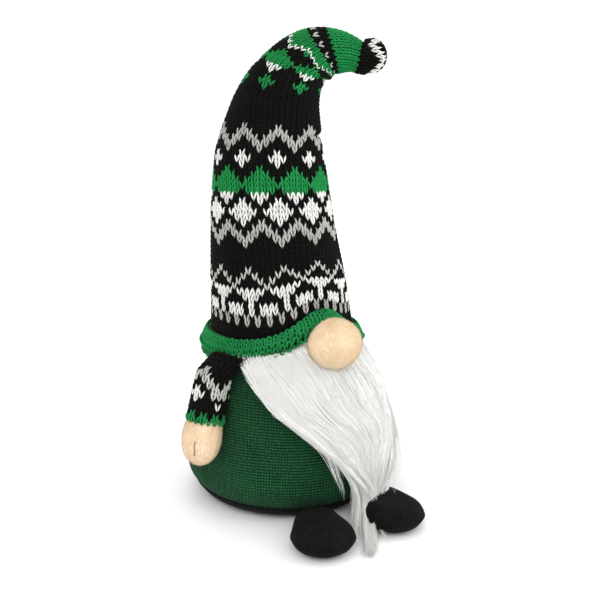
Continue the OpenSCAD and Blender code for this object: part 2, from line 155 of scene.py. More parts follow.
def tube(path, radii, sides=6):
    """Points, faces and (round, along) shares of a closed tube through path."""
    path = np.asarray(path, float)
    heading = np.gradient(path, axis=0)
    heading /= np.linalg.norm(heading, axis=1)[:, None]
    first = np.cross(heading, [0.13, 0.21, 1.0])
    first /= np.linalg.norm(first, axis=1)[:, None]
    second = np.cross(heading, first)
    angles = np.arange(sides) * 2 * math.pi / sides
    rows = [p + r * (np.outer(np.cos(angles), a) + np.outer(np.sin(angles), b))
            for p, r, a, b in zip(path, radii, first, second)]
    points, faces = grid(rows)
    last = (len(path) - 1) * sides
    faces += [tuple(reversed(range(sides))), tuple(range(last, last + sides))]
    shares = [(i / sides, k / (len(path) - 1)) for k in range(len(path)) for i in range(sides)]
    return points, faces, shares


def joined_tubes(name, tubes, material=None):
    """One mesh object of several tubes, with a UV map that runs round and along each."""
    points, faces, shares = [], [], []
    for p, f, s in tubes:
        start = sum(len(x) for x in points)
        points.append(p)
        faces += [tuple(start + i for i in face) for face in f]
        shares += s
    made = mesh_object(name, np.vstack(points), faces, material=material)
    put_map(made, shares)
    return made


# ---------------------------------------------------------------- node trees
def add(tree, kind, inputs=None, **settings):
    """A node with its settings. inputs gives each socket a value or the output that feeds it."""
    made = tree.nodes.new(kind)
    for key, value in settings.items():
        setattr(made, key, value)
    for key, value in (inputs or {}).items():
        if isinstance(value, bpy.types.NodeSocket):
            tree.links.new(value, made.inputs[key])
        else:
            made.inputs[key].default_value = value
    return made


def new_tree(name, wanted):
    """A geometry tree with named inputs, its group input and its group output."""
    tree = bpy.data.node_groups.new(name, "GeometryNodeTree")
    for label, kind in (("Geometry", "NodeSocketGeometry"), *wanted):
        tree.interface.new_socket(label, in_out="INPUT", socket_type=kind)
    tree.interface.new_socket("Geometry", in_out="OUTPUT", socket_type="NodeSocketGeometry")
    return tree, tree.nodes.new("NodeGroupInput"), tree.nodes.new("NodeGroupOutput")


def end_tree(tree, given, out, geometry):
    real = add(tree, "GeometryNodeRealizeInstances", {"Geometry": geometry})
    done = add(tree, "GeometryNodeSetMaterial",
               {"Geometry": real.outputs[0], "Material": given.outputs["Material"]})
    tree.links.new(done.outputs[0], out.inputs[0])
    return tree


def stitches_tree():
    """One stitch stands on each loose point, turned by its facing and along values, on a backing."""
    tree, given, out = new_tree("Knit stitches", (
        ("Stitch", "NodeSocketObject"), ("Backing", "NodeSocketObject"), ("Material", "NodeSocketMaterial")))
    stitch = add(tree, "GeometryNodeObjectInfo", {"Object": given.outputs["Stitch"]})
    backing = add(tree, "GeometryNodeObjectInfo", {"Object": given.outputs["Backing"]})
    facing, along, size = (
        add(tree, "GeometryNodeInputNamedAttribute", {"Name": word}, data_type="FLOAT_VECTOR")
        for word in ("facing", "along", "size"))
    turn = add(tree, "FunctionNodeAxesToRotation",
               {"Primary Axis": facing.outputs[0], "Secondary Axis": along.outputs[0]},
               primary_axis="Z", secondary_axis="Y")
    placed = add(tree, "GeometryNodeInstanceOnPoints",
                 {"Points": given.outputs["Geometry"], "Instance": stitch.outputs["Geometry"],
                  "Rotation": turn.outputs[0], "Scale": size.outputs[0]})
    both = add(tree, "GeometryNodeJoinGeometry")
    tree.links.new(placed.outputs[0], both.inputs[0])
    tree.links.new(backing.outputs["Geometry"], both.inputs[0])
    return end_tree(tree, given, out, both.outputs[0])


def strands_tree():
    """Every line of edges becomes a strand as thick as its thickness value."""
    tree, given, out = new_tree("Strands", (("Sides", "NodeSocketInt"), ("Material", "NodeSocketMaterial")))
    line = add(tree, "GeometryNodeMeshToCurve", {"Mesh": given.outputs["Geometry"]})
    ring = add(tree, "GeometryNodeCurvePrimitiveCircle",
               {"Resolution": given.outputs["Sides"], "Radius": 1.0})
    thick = add(tree, "GeometryNodeInputNamedAttribute", {"Name": "thickness"}, data_type="FLOAT")
    skin = add(tree, "GeometryNodeCurveToMesh",
               {"Curve": line.outputs[0], "Profile Curve": ring.outputs[0],
                "Scale": thick.outputs[0], "Fill Caps": True})
    return end_tree(tree, given, out, skin.outputs[0])


def nap_tree():
    """Short bent fibres stand all over a surface, which is kept under them."""
    tree, given, out = new_tree("Nap", (
        ("Fibre", "NodeSocketObject"), ("Per square metre", "NodeSocketFloat"), ("Seed", "NodeSocketInt"),
        ("Shortest", "NodeSocketFloat"), ("Lean", "NodeSocketFloat"), ("Material", "NodeSocketMaterial")))
    fibre = add(tree, "GeometryNodeObjectInfo", {"Object": given.outputs["Fibre"]})
    roots = add(tree, "GeometryNodeDistributePointsOnFaces",
                {"Mesh": given.outputs["Geometry"], "Density": given.outputs["Per square metre"],
                 "Seed": given.outputs["Seed"]})
    backwards = add(tree, "ShaderNodeMath", {0: given.outputs["Lean"], 1: -1.0}, operation="MULTIPLY")
    low = add(tree, "ShaderNodeCombineXYZ", {0: backwards.outputs[0], 1: backwards.outputs[0], 2: 0.0})
    high = add(tree, "ShaderNodeCombineXYZ",
               {0: given.outputs["Lean"], 1: given.outputs["Lean"], 2: 2 * math.pi})
    turn = add(tree, "FunctionNodeRandomValue",
               {"Min": low.outputs[0], "Max": high.outputs[0], "Seed": 3}, data_type="FLOAT_VECTOR")
    turned = add(tree, "FunctionNodeRotateRotation",
                 {"Rotation": roots.outputs["Rotation"], "Rotate By": turn.outputs[0]}, rotation_space="LOCAL")
    length = add(tree, "FunctionNodeRandomValue", data_type="FLOAT")
    tree.links.new(given.outputs["Shortest"], length.inputs[2])
    placed = add(tree, "GeometryNodeInstanceOnPoints",
                 {"Points": roots.outputs["Points"], "Instance": fibre.outputs["Geometry"],
                  "Rotation": turned.outputs[0], "Scale": length.outputs[1]})
    both = add(tree, "GeometryNodeJoinGeometry")
    tree.links.new(placed.outputs[0], both.inputs[0])
    tree.links.new(given.outputs["Geometry"], both.inputs[0])
    return end_tree(tree, given, out, both.outputs[0])


TREES = {}


def grown(source, kind, name, helpers=(), **values):
    """Runs one of the trees on source and returns the plain mesh it makes. source and helpers go."""
    if kind not in TREES:
        TREES[kind] = {"stitches": stitches_tree, "strands": strands_tree, "nap": nap_tree}[kind]()
    tree = TREES[kind]
    step = source.modifiers.new("grow", "NODES")
    step.node_group = tree
    for item in tree.interface.items_tree:
        word = item.name.lower().replace(" ", "_")
        if item.in_out == "INPUT" and word in values:
            step[item.identifier] = values[word]
    bpy.context.view_layer.update()
    ready = bpy.context.evaluated_depsgraph_get()
    mesh = bpy.data.meshes.new_from_object(source.evaluated_get(ready), preserve_all_data_layers=True,
                                           depsgraph=ready)
    mesh.name = name
    mesh.shade_smooth()
    made = bpy.data.objects.new(name, mesh)
    bpy.context.scene.collection.objects.link(made)
    source.modifiers.clear()
    for thing in (source, *helpers):
        bpy.data.objects.remove(thing)
    return made


# ---------------------------------------------------------------- materials
def new_material(name):
    made = bpy.data.materials.new(name)
    made.use_nodes = True
    made.node_tree.nodes.clear()
    return made, made.node_tree


def surface(tree, colour_from, roughness=0.85, height=None, depth=0.0, **fixed):
    """The principled surface of a material, with its bump of depth metres."""
    inputs = {"Base Color": colour_from, "Roughness": roughness}
    inputs.update({key.replace("_", " "): value for key, value in fixed.items()})
    if height is not None:
        bump = add(tree, "ShaderNodeBump", {"Height": height, "Distance": depth, "Strength": 1.0})
        inputs["Normal"] = bump.outputs[0]
    skin = add(tree, "ShaderNodeBsdfPrincipled", inputs)
    out = tree.nodes.new("ShaderNodeOutputMaterial")
    tree.links.new(skin.outputs[0], out.inputs[0])
    return skin


def noise(tree, size_mm, detail=3.0, where=None, stretch=None):
    """A noise whose grains are about size_mm wide, on the piece's own axes."""
    place = where or add(tree, "ShaderNodeTexCoord").outputs["Object"]
    if stretch:
        place = add(tree, "ShaderNodeMapping", {"Vector": place, "Scale": stretch}).outputs[0]
    return add(tree, "ShaderNodeTexNoise",
               {"Vector": place, "Scale": 1 / (size_mm * MM), "Detail": detail, "Roughness": 0.6}).outputs[0]


def mixed(tree, share, low, high):
    """A colour between low and high by share."""
    return add(tree, "ShaderNodeMix", {0: share, 6: low, 7: high}, data_type="RGBA").outputs[2]


def maths(tree, operation, *values):
    return add(tree, "ShaderNodeMath", dict(enumerate(values)), operation=operation).outputs[0]


def span(tree, value, low, high, to_low=0.0, to_high=1.0):
    return add(tree, "ShaderNodeMapRange", {0: value, 1: low, 2: high, 3: to_low, 4: to_high}).outputs[0]


def yarn_material(name, twists):
    """Dyed two-ply acrylic yarn, matt and a little hairy. Its colour is the piece's yarn value, with painted shade in
    the ply grooves; on the knit backings that value is itself darkened as painted shade.
    """
    made, tree = new_material(name)
    dye = add(tree, "ShaderNodeAttribute", attribute_name="yarn").outputs[0]
    ply = add(tree, "ShaderNodeAttribute", attribute_name="cloth").outputs[1]
    parts = add(tree, "ShaderNodeSeparateXYZ", {0: ply})
    turn = maths(tree, "ADD", parts.outputs[0], maths(tree, "MULTIPLY", parts.outputs[1], twists))
    groove = maths(tree, "ABSOLUTE", maths(tree, "SINE", maths(tree, "MULTIPLY", turn, 2 * math.pi)))
    fuzz = noise(tree, 0.5)
    patches = noise(tree, 9.0, 2.0)
    # painted shade and highlight: the colour drops to 0.72 in the ply grooves and rises to 1.08 on their crests,
    # besides the random fuzz and patches
    shade = maths(tree, "MULTIPLY", span(tree, groove, 0, 1, 0.72, 1.08), span(tree, fuzz, 0.3, 0.7, 0.82, 1.18))
    shade = maths(tree, "MULTIPLY", shade, span(tree, patches, 0.3, 0.7, 0.92, 1.06))
    tinted = add(tree, "ShaderNodeVectorMath", {0: dye, "Scale": shade}, operation="SCALE").outputs[0]
    height = maths(tree, "ADD", maths(tree, "MULTIPLY", groove, 0.7), maths(tree, "MULTIPLY", fuzz, 0.8))
    surface(tree, tinted, 0.95, height, 0.0004, Sheen_Weight=0.03, Sheen_Roughness=0.5,
            Specular_IOR_Level=0.1)
    return made


def fine_knit_material():
    """Fine machine-knit body cloth: dark green acrylic with a painted highlight, paler green, on each stitch's crest,
    brushed matt.
    """
    made, tree = new_material("dark green fine knit")
    place = add(tree, "ShaderNodeSeparateXYZ", {0: add(tree, "ShaderNodeUVMap", uv_map="cloth").outputs[0]})
    column = maths(tree, "DIVIDE", place.outputs[0], 2.6 * MM)
    row = maths(tree, "DIVIDE", place.outputs[1], 2.3 * MM)
    aside = maths(tree, "ABSOLUTE", maths(tree, "SUBTRACT", maths(tree, "FRACT", column), 0.5))
    rise = maths(tree, "FRACT", maths(tree, "SUBTRACT", row, maths(tree, "MULTIPLY", aside, 1.7)))
    leg = maths(tree, "SUBTRACT", 1.0, maths(tree, "ABSOLUTE", maths(tree, "SUBTRACT", aside, 0.26)))
    leg = span(tree, leg, 0.78, 0.98)
    bulge = maths(tree, "SINE", maths(tree, "MULTIPLY", rise, math.pi))
    stitch = maths(tree, "MULTIPLY", leg, bulge)
    patchy_noise = span(tree, noise(tree, 1.6, 4.0), 0.42, 0.66)
    # painted highlight: paler green on each stitch's crest, stronger or weaker in random patches
    painted_highlight = maths(tree, "MULTIPLY", span(tree, stitch, 0.35, 0.85), maths(tree, "ADD", 0.45, maths(tree, "MULTIPLY", patchy_noise, 0.8)))
    ground = mixed(tree, span(tree, noise(tree, 24.0, 2.0), 0.3, 0.7), colour("#021a0a"), colour("#032c13"))
    height = maths(tree, "ADD", stitch, maths(tree, "MULTIPLY", patchy_noise, 0.35))
    # the painted highlight colour #3a9460 lies over the dark green ground
    surface(tree, mixed(tree, painted_highlight, ground, colour("#3a9460")), 0.95, height, 0.0005,
            Sheen_Weight=0.03, Sheen_Roughness=0.6, Specular_IOR_Level=0.1)
    return made


def plain_material(name, low, high, grain, depth, roughness=0.9, sheen=0.3, stretch=None, patch=14.0, metal=0.0):
    """A matt soft or hard stuff whose colour wanders from low to high, with grains of grain mm."""
    made, tree = new_material(name)
    fine, broad = noise(tree, grain, 4.0, stretch=stretch), noise(tree, patch, 2.0)
    share = maths(tree, "ADD", maths(tree, "MULTIPLY", span(tree, fine, 0.3, 0.7), 0.6),
                  maths(tree, "MULTIPLY", span(tree, broad, 0.3, 0.7), 0.4))
    surface(tree, mixed(tree, share, colour(low), colour(high)), roughness, fine, depth,
            Sheen_Weight=sheen, Sheen_Roughness=0.5, Specular_IOR_Level=0.12 + 0.38 * metal, Metallic=metal)
    return made


def fur_material():
    """Long white acrylic fur with a soft gloss along its hairs."""
    made, tree = new_material("white long-pile fur")
    broad, fine = noise(tree, 9.0, 2.0, stretch=(1, 1, 0.3)), noise(tree, 0.8, 2.0, stretch=(1, 1, 0.1))
    share = maths(tree, "ADD", maths(tree, "MULTIPLY", span(tree, broad, 0.3, 0.7), 0.5),
                  maths(tree, "MULTIPLY", span(tree, fine, 0.3, 0.7), 0.5))
    surface(tree, mixed(tree, share, colour("#f8f7f2"), colour("#ffffff")), 0.5, fine, 0.0001,
            Sheen_Weight=0.1, Sheen_Roughness=0.4, Specular_IOR_Level=0.4)
    return made


MATERIALS = {}
STUFFS = {
    "knit yarn": lambda: yarn_material("two-ply acrylic yarn, matt", 3.0),
    "fine knit": fine_knit_material,
    "white fur": fur_material,
    "beige fleece": lambda: plain_material("beige microfleece, brushed", "#dcb88b", "#fdebcf", 1.3, 0.0009, 0.95, 0.1),
    "black felt": lambda: plain_material("black acrylic felt, brushed", "#020302", "#1b1c18", 1.5, 0.0016, 1.0, 0.0),
    "base felt": lambda: plain_material("black pressed felt, matt", "#060705", "#11120f", 0.8, 0.0004, 0.95, 0.03),
    "dark thread": lambda: plain_material("black overlock thread", "#060606", "#161614", 0.4, 0.0002, 0.8, 0.03),
    "brown thread": lambda: plain_material("brown sewing thread, waxed", "#6d5840", "#9a8263", 0.3, 0.0002, 0.7, 0.1),
    "fibre": lambda: plain_material("white polyester fibre filling", "#dcdcd6", "#f6f6f2", 1.5, 0.001, 0.95, 0.4),
    "greyboard": lambda: plain_material("uncoated greyboard", "#8d7450", "#b39a72", 0.6, 0.0001, 0.9, 0.0),
    "kraft bag": lambda: plain_material("kraft cotton pellet bag", "#9c8a66", "#c4b48e", 2.4, 0.0008, 0.9, 0.1),
    "steel wire": lambda: plain_material("bare annealed steel wire", "#7d7f82", "#b4b7ba", 0.5, 0.00005, 0.35, 0.0,
                                         metal=1.0),
}


def stuff(word):
    if word not in MATERIALS:
        MATERIALS[word] = STUFFS[word]()
    return MATERIALS[word]


# ---------------------------------------------------------------- shapes shared with the CAD part
def cover_radius(z):
    z = np.asarray(z, float)
    low = BELLY - (BELLY - BASE_SEAM) * ((BELLY_HEIGHT - z) / (BELLY_HEIGHT - SEAM_HEIGHT)) ** 2
    high = BELLY - (BELLY - NECK) * (np.clip(z - BELLY_HEIGHT, 0, None) / (NECK_HEIGHT - BELLY_HEIGHT)) ** 1.4
    return np.where(z < BELLY_HEIGHT, low, high)


def round_body(radius, turn, z):
    """A point at turn radians from the front towards the left hand."""
    return np.stack([radius * np.sin(turn), -radius * np.cos(turn), z + 0 * turn], -1)


def bend_places():
    """The hat's spine every millimetre from its brim: centre, radius, heading, surface length."""
    s = np.arange(0.0, LOWER_LEN + 2 * ARC_LEN + TIP_LEN + 0.5)
    centre = BRIM_CENTRE + (HAT_BEND - BRIM_CENTRE) * np.clip(s / LOWER_LEN, 0, 1)[:, None]
    for start, origin, low, high in ((LOWER_LEN, HAT_BEND, -4, 40), (LOWER_LEN + ARC_LEN, HAT_CROOK, 42, 122)):
        t = np.clip((s - start) / ARC_LEN, 0, 1)
        low, high = math.radians(low), math.radians(high)
        reach = ARC_LEN / (high - low)
        now = low + (high - low) * t
        offset = reach * (np.outer(math.cos(low) - np.cos(now), DROOP_WAY) + np.outer(np.sin(now) - math.sin(low), UP))
        past = s >= start
        centre[past] = (origin + offset)[past]
    pinch = LOWER_LEN + 2 * ARC_LEN
    tip_way = math.sin(math.radians(86)) * DROOP_WAY + math.cos(math.radians(86)) * UP
    past = s >= pinch
    centre[past] = (HAT_PINCH + np.outer(s - pinch, tip_way))[past]
    t = np.clip(s / LOWER_LEN, 0, 1)
    radius = 61.5 - 19.0 * t ** 1.15
    radius = np.where(s > LOWER_LEN, np.interp(s, (167, 229, 291), (42.5, 29.0, 12.5)), radius)
    d = s - pinch
    ball = 14.0 * np.sqrt(np.clip(1 - np.clip((d - 0.45 * TIP_LEN) / (0.55 * TIP_LEN), 0, 1) ** 2, 0.0004, 1))
    heading = np.interp(s, (0, 150, 167, 208, 229, 291, 300, 314), (0, 0, -1, 8, 20, 106, 90, 86))
    box = np.ones(9) / 9
    radius = np.convolve(np.pad(radius, 4, mode="edge"), box, "valid")
    radius = np.where(d > 0, np.minimum(np.maximum(radius, 12.5) + 0.4 * np.clip(d, 0, None), ball), radius)
    heading = np.convolve(np.pad(heading, 4, mode="edge"), box, "valid")
    length = np.concatenate([[0], np.cumsum(np.hypot(1, np.diff(radius)))])
    return s, centre, radius, np.radians(heading), length


SPINE = bend_places()
ROW_MARKS = ((-3, 0.0), (0, 8.0), (39, 171.5), (48, 208.0), (54, 229.0), (67.5, 260.0), (77, 291.0))
FIRST_ROW, LAST_ROW = -3, 85
NOSE_LIFT = 12.0


def row_place(row):
    """How far along the hat's spine the lower edge of a row of stitches lies, in mm."""
    rows, marks = zip(*ROW_MARKS)
    if row <= 77:
        return float(np.interp(row, rows, marks))
    s, length = SPINE[0], SPINE[4]
    return float(np.interp(np.interp(291, s, length) + 3.5 * (row - 77), length, s))


def hat_points(s, turn, rise=0.0):
    """Points of the hat at spine distances s and turns from the front, rise mm off its wall."""
    table, centres, radii, headings, _ = SPINE
    centre = np.stack([np.interp(s, table, centres[:, k]) for k in range(3)], -1)
    heading, radius = np.interp(s, table, headings), np.interp(s, table, radii)
    a = turn - DROOP
    # soft folds: a crease inside the crook, and slack above the brim
    radius = radius - 2.6 * np.exp(-((s - 231) / 5) ** 2) * np.clip(np.cos(a), 0, 1) ** 2
    radius = radius - 1.2 * np.exp(-((s - 262) / 5) ** 2) * np.clip(np.cos(a - 0.8), 0, 1)
    radius = radius + 3.4 * np.exp(-((s - 98) / 48) ** 2) * np.clip(-np.cos(a), 0, 1)
    radius = radius - 2.4 * np.exp(-((s - 164) / 4) ** 2) * np.clip(np.cos(a), 0, 1) ** 2
    radius = radius + 0.7 * np.sin(2 * a + s / 19) * smooth(15, 60, s) * smooth(300, 270, s)
    radius = np.maximum(radius + rise, 0.05)
    out = np.cos(heading)[..., None] * DROOP_WAY - np.sin(heading)[..., None] * UP
    lean_in = 4.2 * smooth(150, 185, s) * smooth(268, 236, s)
    sag = 4.5 * smooth(205, 240, s) * (1 - 0.5 * smooth(262, 300, s))
    centre = centre + lean_in[..., None] * DROOP_WAY - sag[..., None] * UP
    away = (turn + math.pi) % (2 * math.pi) - math.pi
    centre = centre + (NOSE_LIFT * np.exp(-(away / 0.45) ** 2) * smooth(88, 18, s))[..., None] * UP
    return centre + radius[..., None] * (np.cos(a)[..., None] * out + np.sin(a)[..., None] * DROOP_SIDE)


def frames_on(shape, s, turn, ds=0.7, dt=0.02):
    """Point, outward facing and along direction of a shape(s, turn), for stitches."""
    place = shape(s, turn)
    along = shape(s + ds, turn) - shape(s - ds, turn)
    along[np.linalg.norm(along, axis=-1) < 1e-9] = UP
    across = shape(s, turn + dt) - shape(s, turn - dt)
    along /= np.linalg.norm(along, axis=-1)[..., None]
    facing = np.cross(across, along)
    facing[np.linalg.norm(facing, axis=-1) < 1e-9] = DROOP_WAY
    facing /= np.linalg.norm(facing, axis=-1)[..., None]
    return place, facing, along


# ---------------------------------------------------------------- stitches
# Yarn colours by chart letter. D is no chart yarn but the darker green of the brim's backing, painted shade between the
# rib loops.
YARNS = {"K": "#090907", "W": "#f4f4ef", "G": "#bcbcb5", "L": "#cfcfc8", "N": "#1e9049", "D": "#0d4a25",
         "B": "#1f8a49", "R": "#1c8445"}
# The hat's chart: for each row, the yarn of the columns 0, 1, 2 and 3 stitches from a motif's middle
HAT_CHART = {
    2: "KGKG", 3: "KGKG", 4: "WKWW", 5: "WKWW", 6: "WKKK", 7: "WWKK", 8: "WWWK",
    9: "KKKL", 10: "KKLK", 11: "KLKK", 12: "LKKK",
    17: "GKKK", 18: "GGKK", 19: "KGGK", 20: "KKGG", 21: "WKKG", 22: "WWKK", 23: "WWWK", 24: "WWKK",
    25: "WKKW", 26: "KKWW", 27: "KNNN", 28: "NNNN", 29: "KNNN", 30: "KKNN", 31: "KKKN",
    32: "WKKK", 33: "WWKK", 34: "WKKK", 35: "KKKG", 36: "KKGG", 37: "KGGK", 38: "GGKK", 39: "GKKK",
    47: "KKKN", 48: "KKNN", 49: "KKKN", 51: "KKKW", 52: "KKWW", 53: "KNNN", 54: "NNNN", 55: "KNNN",
    56: "KKNN", 57: "KKKN", 59: "KKKW", 60: "NKWN", 61: "NWNN", 62: "WNNN",
    63: "NNNN", 64: "NNNN", 65: "NNNN", 67: "LKLK", 70: "NNNN", 71: "NNNN", 72: "NNNN", 73: "NNNN",
    74: "NNNN", 75: "NNNN", 76: "NNNN", 79: "WKKK", 80: "WWKK", 81: "KWWK", 82: "KKWW", 83: "KKKW",
}
# The sleeve's chart: for each row, the yarn of the columns 0 to 4 stitches from the cross's middle
SLEEVE_CHART = {0: "BBBBB", 1: "BKBKB", 3: "KKKKW", 4: "WKKKK", 5: "WWKLL", 6: "WKKLL",
                7: "KKLLK", 8: "KLLKK", 9: "LLKKK", 10: "LKKKK"}


def chart_yarn(chart, row, column, period=6):
    """The yarn of a stitch, from a chart that mirrors and repeats every period columns."""
    near = abs((column + period // 2) % period - period // 2)
    return chart.get(row, "KKKKK")[near]


def column_drift(row):
    """How many stitches the pattern's middle has crept round from the front by a row."""
    return float(np.interp(row, (0, 23, 36, 50), (0.9, 1.75, 2.9, 2.6)))


def dye(code, chance, spread=0.1):
    """The linear colour of a yarn, a little lighter or darker from stitch to stitch."""
    shade = 1 + chance.uniform(-spread, spread)
    return [c * shade for c in colour(YARNS[code])[:3]] + [1.0]


def knit_stitch(half=2.5, height=6.4, fat=1.0, name="knit stitch"):
    """One V: two fat legs that lean apart, sunk at both ends."""
    tubes = []
    for side in (-1, 1):
        path = [(side * x * half, y * height, z * fat) for x, y, z in (
            (0.08, -0.20, -0.40), (0.34, 0.10, 0.50), (0.57, 0.40, 0.72), (0.78, 0.70, 0.42), (0.93, 0.98, -0.45))]
        tubes.append(tube(path, [r * fat for r in (0.30, 0.76, 0.90, 0.76, 0.28)]))
    return joined_tubes(name, tubes)


def rib_stitch(name="rib stitch"):
    """One loop of the brim's rolled rib: two upright legs that meet in a round head."""
    path = [(-1.35, -1.0, -0.3), (-1.4, 1.0, 0.6), (-1.45, 3.2, 0.8), (-1.1, 5.0, 0.6), (0, 5.7, 0.3),
            (1.1, 5.0, 0.6), (1.45, 3.2, 0.8), (1.4, 1.0, 0.6), (1.35, -1.0, -0.3)]
    return joined_tubes(name, [tube(path, (0.5, 0.85, 0.95, 0.9, 0.85, 0.9, 0.95, 0.85, 0.5))])


def stitched(name, cells, backing, stitch):
    """A knit piece: a stitch on each cell (place, facing, along, size, yarn colour) over a backing."""
    place, facing, along, size, yarn = (np.array(part, float) for part in zip(*cells))
    points = mesh_object(name + " cells", place)
    put_values(points.data, "facing", "FLOAT_VECTOR", facing)
    put_values(points.data, "along", "FLOAT_VECTOR", along)
    put_values(points.data, "size", "FLOAT_VECTOR", size)
    put_values(points.data, "yarn", "FLOAT_COLOR", yarn)
    return grown(points, "stitches", name, (stitch, backing), stitch=stitch, backing=backing,
                 material=stuff("knit yarn"))


def hat_length(name, first, last, seed, sunk=0.9):
    """The rows first to last of the hat, without the row after last."""
    chance = np.random.default_rng(seed)
    cells = []
    for row in range(first, last):
        s, after = row_place(row), row_place(row + 1)
        radius = float(np.interp(s, SPINE[0], SPINE[2]))
        count = max(5, round(2 * math.pi * radius / 5.0))
        columns = np.arange(count) - count // 2
        turn = (columns + column_drift(row)) * 2 * math.pi / count
        here = s + 0.9 * np.sin(2 * turn + row / 9) * min(1, radius / 30)
        place, facing, along = frames_on(lambda a, b: hat_points(a, b, -sunk), here, turn)
        above = hat_points(here + after - s, turn, -sunk)
        rise = np.linalg.norm(above - place, axis=1)
        wide = np.linalg.norm(hat_points(here, turn + math.pi / count, -sunk)
                              - hat_points(here, turn - math.pi / count, -sunk), axis=1)
        for k, column in enumerate(columns):
            yarn = chart_yarn(HAT_CHART, row, int(column))
            size = (wide[k] / 5 * chance.uniform(0.95, 1.04), max(0.45, rise[k] / 4.15), min(1.0, 0.5 + rise[k] / 8))
            cells.append((place[k], facing[k], along[k] + chance.normal(0, 0.03, 3), size, dye(yarn, chance)))
    turns = np.arange(72) * 2 * math.pi / 72
    rows, painted_shade_tints = [], []
    for row in np.arange(first - 0.5, last + 0.76, 0.5):
        rows.append(hat_points(np.full(72, row_place(max(row, FIRST_ROW))), turns, -sunk - 0.75))
        for turn in turns:
            radius = float(np.interp(row_place(row), SPINE[0], SPINE[2]))
            column = round(((turn + math.pi) % (2 * math.pi) - math.pi) * radius / 5.0 - column_drift(row))
            # painted shade: the backing shows the chart's yarn at 0.12 of its colour, for the shade in the gaps between
            # stitches
            painted_shade_tints.append([c * 0.12 for c in colour(YARNS[chart_yarn(HAT_CHART, int(row), column)])[:3]] + [1])
    closed = last >= LAST_ROW
    points, faces = grid(rows, cap_high=closed)
    backing = mesh_object(name + " backing", points, faces)
    put_values(backing.data, "yarn", "FLOAT_COLOR", painted_shade_tints + [painted_shade_tints[-1]] * (len(points) - len(painted_shade_tints)))
    put_map(backing, [(p[0] * MM * 40, p[2] * MM * 40) for p in points])
    return stitched(name, cells, backing, knit_stitch())


# ---------------------------------------------------------------- operators
class GnomeOperator:
    """What every piece of the gnome shares."""
    bl_options = {"REGISTER", "UNDO"}


class GNOME_OT_hat(GnomeOperator, Operator):
    """Knits the hat, stitch by stitch, over its bendable core"""
    bl_idname = "gnome.hat"
    bl_label = "Knit hat"

    def execute(self, context):
        low = hat_length("hat_rows_low", FIRST_ROW, 16, 11)
        high = hat_length("hat_rows_high", 16, 32, 12)
        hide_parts("hat_knit_lower", "hat_filling_lower")
        for piece in (low, high):
            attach(piece, "torso")
        for name, first, last, seed, bodies, ends, gone, slot in (
                ("hat_rows_bend", 32, 46, 13, ("torso", "hat_middle"), (150, 184), "hat_knit_middle", "hat_knit"),
                ("hat_rows_crook", 46, 65, 14, ("hat_middle", "hat_upper"), (216, 240), "hat_knit_upper",
                 "hat_knit_green"),
                ("hat_rows_tip", 65, LAST_ROW, 15, ("hat_upper", "hat_tip"), (284, 300), "hat_knit_tip",
                 "hat_knit_green")):
            piece = hat_length(name, first, last, seed)
            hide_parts(gone, gone.replace("knit", "filling"))
            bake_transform(piece)
        return {"FINISHED"}


def brim_points(b, turn, rise=0.0):
    """The rolled brim: b radians round its section, turn from the front."""
    turn = (turn + math.pi) % (2 * math.pi) - math.pi
    climb = np.exp(-(np.degrees(turn) / 24) ** 2)
    slack = smooth(0.5, 1.25, np.abs(turn))
    out = np.stack([np.sin(turn), -np.cos(turn), 0 * turn], -1)
    flare = 2.4 + 6.5 * np.exp(-(np.degrees(turn) / 19) ** 2)
    reach = 63.0 + flare + (3.6 + rise) * np.cos(b) - flare * np.sin(b)
    height = (7.2 - 1.4 * climb + 1.9 * slack + rise) * np.sin(b) + 1.0 + 25 * climb - 5.0 * slack
    return BRIM_CENTRE + reach[..., None] * out + height[..., None] * UP


class GNOME_OT_brim(GnomeOperator, Operator):
    """Knits the rolled rib brim over the nose"""
    bl_idname = "gnome.brim"
    bl_label = "Rolled brim"

    def execute(self, context):
        chance = np.random.default_rng(21)
        count = 84
        turns = (np.arange(count) - count // 2) * 2 * math.pi / count
        cells = []
        for level, b in enumerate(np.radians((-112, -66, -30, -4, 20))):
            angle = np.full(count, b)
            shape = lambda a, t: brim_points(a, t, -0.6)
            place, facing, along = frames_on(shape, angle, turns + (level % 2) * 0.004, 0.03, 0.01)
            wide = np.linalg.norm(shape(angle, turns + math.pi / count) - shape(angle, turns - math.pi / count), axis=1)
            for k in range(count):
                size = (wide[k] / 5.0 * chance.uniform(0.95, 1.05), chance.uniform(0.92, 1.05), 1.0)
                cells.append((place[k], facing[k], along[k] + chance.normal(0, 0.03, 3), size, dye("R", chance, 0.14)))
        rows = [brim_points(np.full(144, b), np.arange(144) * 2 * math.pi / 144, -0.9)
                for b in np.linspace(-math.pi, math.pi, 25)[:-1]]
        points, faces = grid(np.swapaxes(np.array(rows + [rows[0]]), 0, 1)[:, :-1])
        last = 143 * 24
        faces += [(last + i, last + (i + 1) % 24, (i + 1) % 24, i) for i in range(24)]
        backing = mesh_object("brim backing", points, [tuple(reversed(f)) for f in faces])
        # painted shade: the backing is the darker green D, for the shade in the gaps between the rib loops
        put_values(backing.data, "yarn", "FLOAT_COLOR", [dye("D", chance, 0.0)] * len(points))
        put_map(backing, points[:, [0, 2]] * MM * 40)
        piece = stitched("brim_rib", cells, backing, rib_stitch())
        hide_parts("hat_brim")
        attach(piece, "torso")
        return {"FINISHED"}


def fibre(length, thick, bend=0.35):
    """One short bent fibre that stands on the origin, in mm."""
    path = [(bend * length * t * t, 0, length * t) for t in (0, 0.4, 0.75, 1)]
    return joined_tubes("fibre", [tube(path, [thick, thick * 0.8, thick * 0.5, thick * 0.15], 3)])


def napped(source, name, length, thick, per_mm2, seed, material, lean=0.7, shortest=0.5):
    hair = fibre(length, thick)
    return grown(source, "nap", name, (hair,), fibre=hair, per_square_metre=per_mm2 * 1e6, seed=seed,
                 shortest=shortest, lean=lean, material=stuff(material))


